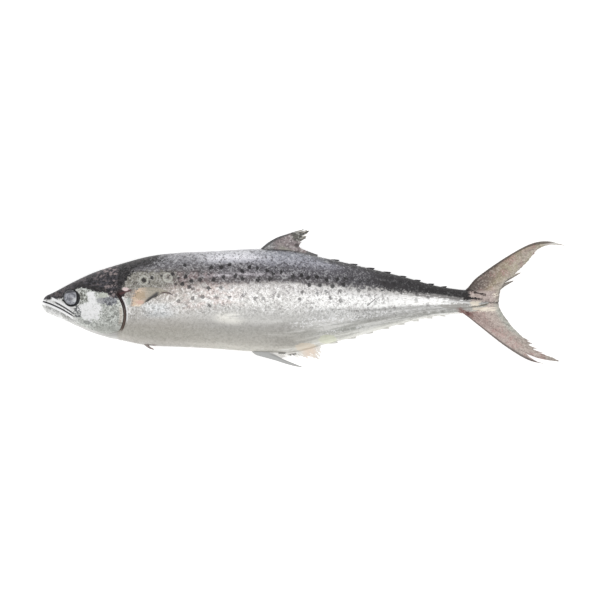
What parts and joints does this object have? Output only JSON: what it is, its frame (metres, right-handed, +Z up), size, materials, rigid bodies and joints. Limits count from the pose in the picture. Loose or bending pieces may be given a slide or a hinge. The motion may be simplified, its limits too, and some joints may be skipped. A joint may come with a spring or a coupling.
{
  "type": "whole raw mackerel",
  "caption": "Whole raw spotted mackerel lying on its right side, with silver skin, a dark back, forked tail, fins and finlets.",
  "frame": {"origin": "on the table, under the centre of the bounding box", "axes": "+X from the snout to the tail, +Y from the belly to the back, +Z up from the table through the flank"},
  "size_m": [0.8, 0.211, 0.0846],
  "materials": {
    "skin": "wet silvery fish skin",
    "fin": "wet translucent fin membrane, grey-brown",
    "pale_fin": "wet translucent fin membrane, pale",
    "eye": "wet clear lens over a grey pupil"
  },
  "bodies": {
    "root": {"body": "skin", "eye_left": "eye", "eye_right": "eye", "tail_fin": "fin", "second_dorsal_fin": "fin", "pectoral_fin_left": "fin", "pectoral_fin_right": "fin", "dorsal_finlet_1": "fin", "dorsal_finlet_2": "fin", "dorsal_finlet_3": "fin", "dorsal_finlet_4": "fin", "dorsal_finlet_5": "fin", "dorsal_finlet_6": "fin", "dorsal_finlet_7": "fin", "dorsal_finlet_8": "fin", "anal_fin": "pale_fin", "pelvic_fin_left": "pale_fin", "pelvic_fin_right": "pale_fin", "anal_finlet_1": "pale_fin", "anal_finlet_2": "pale_fin", "anal_finlet_3": "pale_fin", "anal_finlet_4": "pale_fin", "anal_finlet_5": "pale_fin", "anal_finlet_6": "pale_fin", "anal_finlet_7": "pale_fin", "anal_finlet_8": "pale_fin"}
  },
  "joints": []
}
